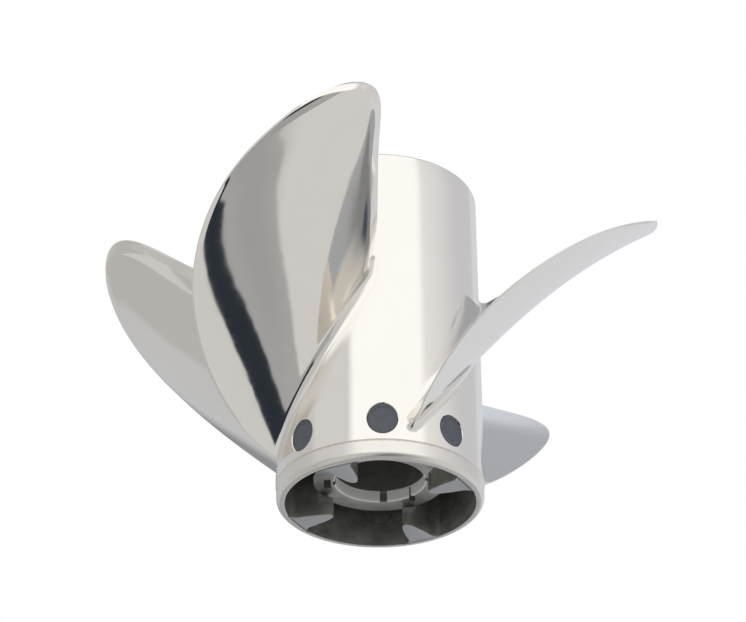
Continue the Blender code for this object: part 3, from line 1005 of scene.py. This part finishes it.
# %% Uneven walls and rounded edges
def grown_inward(outline, distance):
    """The outline moved inwards, by a distance or by one for each point."""
    step = np.roll(outline, -1, axis=0) - np.roll(outline, 1, axis=0)
    step /= np.linalg.norm(step, axis=1)[:, None]
    inward = np.stack((-step[:, 1], step[:, 0]), axis=1)
    return outline + np.asarray(distance).reshape(-1, 1) * inward


def uneven(outline, height):
    """How far a cast wall lies inside its ideal place, for each point of an outline."""
    places = [(x / UNEVEN_ACROSS, y / UNEVEN_ACROSS, height / UNEVEN_ALONG) for x, y in outline]
    return CAST_UNEVENNESS * np.array([1.0 + noise.noise(Vector(place)) for place in places])


def rib_layers():
    """How far each layer lies inside the outline, and its height, with both ends' edges rounded."""
    turns = np.linspace(0.0, np.pi / 2.0, RIB_EDGE_STEPS + 1)
    layers = []
    for turn in turns:
        layers.append((RIB_EDGE * (1.0 - math.sin(turn)), RIB_EDGE * (1.0 - math.cos(turn))))
    start, end = layers[-1][1], RIB_AFT - RIB_EDGE
    for share in np.linspace(0.0, 1.0, RIB_LAYERS + 1)[1:]:
        layers.append((0.0, start + (end - start) * share**RIB_LAYER_POWER))
    for turn in turns[1:]:
        layers.append((RIB_EDGE * (1.0 - math.cos(turn)), end + RIB_EDGE * math.sin(turn)))
    return layers


# %% Rib mesh
def at_reach(points, wanted):
    """The points moved towards or away from the axis, to the wanted distance from it."""
    return points * (wanted / np.linalg.norm(points, axis=1))[:, None]


def make_rib(number, finish, ground_finish):
    outline = rib_outline(math.radians(RIB_ANGLE) + FULL_TURN / RIBS * (number - 1))
    in_wall = np.linalg.norm(outline, axis=1) > BORE_RADIUS
    points = []
    layers = rib_layers()
    for inset, height in layers:
        ring = grown_inward(outline, inset + uneven(outline, height))
        ring[in_wall] = at_reach(ring[in_wall], BORE_RADIUS + RIB_SINK)
        if height > HUB_FRONT:
            reach = np.linalg.norm(ring, axis=1)
            ring = at_reach(ring, np.maximum(reach, HUB_RADIUS - RIB_SINK))
        points += [(x, y, height) for x, y in ring]
    faces = wrapped_and_closed(loops_of(len(outline), len(layers)))
    piece = skin(f"cast_rib_{number}", points, faces, finish, f"rib_{number}")
    forward_end = len(piece.data.polygons) - 1
    add_finishes(piece, [ground_finish], [0] * forward_end + [1])
    return piece


# The ribs take the cast steel that is painted lighter, as painted light.
ribs = [make_rib(number, rib_steel, ground_steel) for number in range(1, RIBS + 1)]

# %% [markdown]
# ## Vent plugs
# Each vent hole is closed by a pressed-in plug of dark plastic. Its face has a raised rim, a
# slight dish inside it, and soft edges. It is built as rings of ovals, from the inner face out to
# the rim and in again to the middle, each as far below the barrel's surface as the plug's face
# lies there. The inner face takes the finish of the cast wall round it, and is darkened like
# that wall with painted shade.

# %% Vent plugs
PLUG_POINTS = 64
PLUG_GAP = 0.05 * MM
PLUG_BACK_SCALES = (0.4, 0.85, 0.97, 1.0)
PLUG_RINGS = (
    (0.985, 1.30), (1.0, 1.10), (0.985, 0.75), (0.95, 0.55), (0.90, 0.50), (0.84, 0.55),
    (0.80, 0.80), (0.76, 0.98), (0.70, 1.05), (0.50, 1.08), (0.25, 1.10),
)


def make_plug(number, angle, finish, inside_finish):
    place = radial_place(math.radians(angle))
    rings = [(scale, WALL) for scale in PLUG_BACK_SCALES]
    rings += [(scale, recess * MM) for scale, recess in PLUG_RINGS]
    points = []
    for scale, recess in rings:
        for step in range(PLUG_POINTS):
            turn = FULL_TURN * step / PLUG_POINTS
            across = scale * (PLUG_HALF_WIDTH - PLUG_GAP) * math.cos(turn)
            height = PLUG_HEIGHT + scale * (PLUG_HALF_HEIGHT - PLUG_GAP) * math.sin(turn)
            points.append(place(across, height, math.sqrt((BARREL_RADIUS - recess)**2 - across**2)))
    loops = loops_of(PLUG_POINTS, len(rings))
    back, front = len(points), len(points) + 1
    points.append(place(0.0, PLUG_HEIGHT, BORE_RADIUS))
    points.append(place(0.0, PLUG_HEIGHT, BARREL_RADIUS - PLUG_RINGS[-1][1] * MM))
    faces = [(back, after, here) for here, after in zip(loops[0], loops[0][1:] + loops[0][:1])]
    faces += wrapped(loops)
    faces += [(front, here, after) for here, after in zip(loops[-1], loops[-1][1:] + loops[-1][:1])]
    piece = skin(f"moulded_plug_{number}", points, faces, finish, f"vent_plug_{number}")
    back_faces = len(PLUG_BACK_SCALES) * PLUG_POINTS
    # The inner face takes the darkened cast finish, whose darkness is painted shade.
    add_finishes(piece, [inside_finish], [int(number < back_faces) for number in range(len(faces))])
    return piece


plug_angles = [angle + 90.0 * turn for turn in range(BLADES) for angle in PLUG_ANGLES]
plugs = []
for number, angle in enumerate(plug_angles, start=1):
    plugs.append(make_plug(number, angle, plug_finish, painted_shade_inside_steel))

# %% [markdown]
# ## Floor
# The propeller stands on its forward rim on a pale floor, but the picture looks up at it from
# below, into the open end. So the floor shows from above only: seen from below it is clear, and
# it takes no light from the metal, whose underside is lit as if the floor were a white light
# table.

# %% Floor
FLOOR_REACH = 6.0
FLOOR_COLOUR = (0.93, 0.93, 0.93, 1.0)
FLOOR_ROUGHNESS = 0.8
FLOOR_GLOW = 0.35


def make_floor():
    mesh = bpy.data.meshes.new("studio_floor")
    corners = [(x * FLOOR_REACH, y * FLOOR_REACH, 0.0) for x, y in SQUARE]
    mesh.from_pydata(corners, [], [(0, 1, 2, 3)])
    floor = in_scene("studio_floor", mesh)
    material, tree, shader = new_material("pale_floor")
    set_values(shader, {"Base Color": FLOOR_COLOUR, "Roughness": FLOOR_ROUGHNESS,
                        "Emission Color": (1.0, 1.0, 1.0, 1.0), "Emission Strength": FLOOR_GLOW})
    path = tree.nodes.new("ShaderNodeLightPath").outputs["Is Camera Ray"]
    behind = tree.nodes.new("ShaderNodeNewGeometry").outputs["Backfacing"]
    above = math_node(tree, "SUBTRACT", 1.0, behind)
    shown = math_node(tree, "MULTIPLY", path, above)
    clear = tree.nodes.new("ShaderNodeBsdfTransparent")
    links = [(0, shown), (1, clear.outputs[0]), (2, shader.outputs[0])]
    mixed = add_node(tree, "ShaderNodeMixShader", links)
    tree.links.new(mixed.outputs[0], tree.nodes["Material Output"].inputs["Surface"])
    mesh.materials.append(material)
    return floor


floor = make_floor()
print("floor side in m:", 2 * FLOOR_REACH)

# %% [markdown]
# ## Studio
# Polished metal shows the room, so the room is the lighting. The world is a soft pale tent with
# cards in it: bright ones that act as soft boxes, and dark ones that draw the shape. Two kinds of
# place are used. Near the nadir a card is laid on a flat map of directions with straight down in
# the middle: how many degrees it lies from straight down, to the right and away from the camera.
# The blades' forward faces look down, so they mirror this map. The barrel is upright and mirrors
# a ring 30 degrees above the horizon, so the cards of the walls are placed by how many degrees
# they lie to the right of the camera and how many degrees above straight down. Each card is given
# by the tone that it shows in the steel, as a photographer would judge it, and that is turned
# into light. Lamps and real panels could do the same, but they would show in other views, and
# each would light the rest too, while a card in the world moves one reflection and leaves the
# others alone.

# %% One soft card
CARD_SETTINGS = (
    "Centre Right", "Centre Away", "Half Length", "Half Width", "Turn", "Softness", "Taper",
)


def make_card_group():
    """Mask of a turned, tapering rectangle with soft edges on a map of directions, in degrees."""
    inputs = {label: 0.0 for label in ("Right", "Away", *CARD_SETTINGS)}
    group, get, put = new_group("studio_card", inputs, ["Mask"])
    right = math_node(group, "SUBTRACT", get["Right"], get["Centre Right"])
    away = math_node(group, "SUBTRACT", get["Away"], get["Centre Away"])
    turn = math_node(group, "RADIANS", get["Turn"])
    cosine = math_node(group, "COSINE", turn)
    sine = math_node(group, "SINE", turn)
    along = math_node(group, "ADD", math_node(group, "MULTIPLY", right, cosine),
                      math_node(group, "MULTIPLY", away, sine))
    across = math_node(group, "SUBTRACT", math_node(group, "MULTIPLY", away, cosine),
                       math_node(group, "MULTIPLY", right, sine))
    share_along = math_node(group, "DIVIDE", along, get["Half Length"])
    widening = math_node(group, "MULTIPLY_ADD", share_along, get["Taper"], 1.0)
    half_width = math_node(group, "MULTIPLY", widening, get["Half Width"])
    masks = []
    for value, size in ((along, get["Half Length"]), (across, half_width)):
        beyond = math_node(group, "SUBTRACT", size, math_node(group, "ABSOLUTE", value))
        share = math_node(group, "DIVIDE", beyond, get["Softness"])
        masks.append(math_node(group, "ADD", share, 0.5, clamp=True))
    both = math_node(group, "MULTIPLY", masks[0], masks[1])
    smooth = add_node(group, "ShaderNodeMapRange", [("Value", both)],
                      interpolation_type="SMOOTHSTEP")
    group.links.new(smooth.outputs["Result"], put["Mask"])
    return group


CARD = make_card_group()

# %% The cards
# Each card has the settings above, in degrees, and then the tone that it shows in the steel.
TENT_TONE = (188, 185, 181)
MAP_CARDS = {
    "left sheet": (-60, -10, 44, 30, 90, 12, 0.0, (180, 176, 171)),
    "left far sheet": (-60, 70, 38, 30, 90, 8, 0.0, (190, 189, 188)),
    "left far shade": (-32, 98, 18, 14, 50, 18, 0.0, (140, 140, 140)),
    "right sheet": (60, 0, 60, 33, 90, 8, 0.0, (204, 200, 195)),
    "far right sheet": (40, 70, 45, 40, 90, 20, 0.0, (208, 207, 207)),
    "grey sheet": (8, -26, 45, 21.7, 124.4, 3, 0.0, (163, 161, 158)),
    "grey core": (13, -17, 18, 8, 124.7, 12, 0.0, (155, 154, 152)),
    "left light strip": (-27, -26, 24, 17.6, 111.6, 2, 0.0, (201, 198, 193)),
    "navy flag": (0.1, -30.7, 34, 6.5, 122.7, 1.2, -1.03, (40, 45, 51)),
}
RING_CARDS = {
    "left wall": (-57, 95, 21, 45, 0, 10, 0.0, (207, 203, 199)),
    "right wall": (110, 110, 60, 40, 0, 20, 0.0, (195, 193, 193)),
    "right glow": (50, 115, 32, 36, 0, 60, 0.0, (224, 220, 216)),
    "back wall": (180, 120, 30, 22, 0, 20, 0.0, (200, 202, 206)),
    "ceiling": (0, 168, 400, 27, 0, 12, 0.0, (165, 167, 171)),
    "ceiling shade": (-30, 173, 110, 14, 0, 8, 0.0, (130, 131, 133)),
    "ceiling core": (-12, 168, 26, 5, 0, 6, 0.0, (70, 76, 90)),
    "beige sheet": (-25, 149, 45, 9, 0, 14, 0.0, (202, 197, 189)),
    "key": (9.0, 121, 41.5, 28, 0, 12, 0.0, (253, 250, 243)),
}


# %% Tones to light
def light_of(tone):
    """Light that the steel shows as an 8-bit tone, channel by channel."""
    light = []
    for level, tint in zip(tone, STEEL):
        share = level / 255.0
        linear = share / 12.92 if share <= 0.04045 else ((share + 0.055) / 1.055)**2.4
        light.append(linear / tint)
    return tuple(light)


# %% Lay the cards into the world
def map_of_directions(tree):
    """Degrees from straight down, split into right and away, then the azimuth and the whole."""
    coordinates = tree.nodes.new("ShaderNodeTexCoord").outputs["Generated"]
    parts = add_node(tree, "ShaderNodeSeparateXYZ", [(0, coordinates)])
    x, y, z = parts.outputs
    down = math_node(tree, "ARCCOSINE", math_node(tree, "MULTIPLY", z, -1.0))
    degrees = math_node(tree, "MULTIPLY", down, 180.0 / math.pi)
    level = math_node(tree, "SQRT", math_node(tree, "ADD", math_node(tree, "MULTIPLY", x, x),
                                              math_node(tree, "MULTIPLY", y, y)))
    safe = math_node(tree, "MAXIMUM", level, 0.0001)
    right = math_node(tree, "MULTIPLY", degrees, math_node(tree, "DIVIDE", x, safe))
    away = math_node(tree, "MULTIPLY", degrees, math_node(tree, "DIVIDE", y, safe))
    towards = math_node(tree, "MULTIPLY", y, -1.0)
    azimuth = math_node(tree, "MULTIPLY", math_node(tree, "ARCTAN2", x, towards), 180.0 / math.pi)
    return (right, away), (azimuth, degrees)


def make_world():
    world = bpy.data.worlds.new("studio")
    bpy.context.scene.world = world
    world.use_nodes = True
    tree = world.node_tree
    on_map, on_ring = map_of_directions(tree)
    colour = add_node(tree, "ShaderNodeRGB").outputs[0]
    colour.default_value = (*light_of(TENT_TONE), 1.0)
    for cards, (first, second) in ((RING_CARDS, on_ring), (MAP_CARDS, on_map)):
        for name, (*settings, tone) in cards.items():
            links = [("Right", first), ("Away", second), *zip(CARD_SETTINGS, settings)]
            card = grouped(tree, CARD, links)
            card.label = name
            colour = blend_colours(tree, card.outputs["Mask"], colour, light_of(tone))
    seen = tree.nodes.new("ShaderNodeLightPath").outputs["Is Camera Ray"]
    shown = blend_colours(tree, seen, colour, (1.0, 1.0, 1.0))
    tree.links.new(shown, tree.nodes["Background"].inputs["Color"])
    print("studio cards:", len(MAP_CARDS) + len(RING_CARDS))


make_world()

# %% [markdown]
# ## Camera
# The picture is taken from in front and well below, with a long lens, so the blades show their
# forward faces and the open end shows the hub. The camera aims at a point near the middle of the
# propeller, and is turned by less than a degree about its own axis.

# %% Camera
AIM = Vector((-0.00301, 0.0, 0.12624))
DISTANCE = 1.5436
AZIMUTH = 0.13
ELEVATION = -30.626
ROLL = -0.615
LENS = 127.2


def make_camera():
    data = bpy.data.cameras.new("camera")
    data.lens = LENS
    data.sensor_width = 36.0
    data.clip_start = 0.05
    data.clip_end = 50.0
    camera = in_scene("camera", data)
    a, e = math.radians(AZIMUTH), math.radians(ELEVATION)
    back = Vector((math.sin(a) * math.cos(e), -math.cos(a) * math.cos(e), math.sin(e)))
    camera.location = AIM + DISTANCE * back
    turned = (-back).to_track_quat("-Z", "Y").to_matrix().to_4x4()
    rolled = turned @ Matrix.Rotation(math.radians(ROLL), 4, "Z")
    camera.rotation_euler = rolled.to_euler()
    bpy.context.scene.camera = camera
    return camera


camera = make_camera()
bpy.context.scene.view_settings.view_transform = "Standard"
print("camera at", [round(value, 3) for value in camera.location])

# %% [markdown]
# ## Update the scene
# The view layer is updated, so that every piece takes its place.

# %% Update the view layer
bpy.context.view_layer.update()
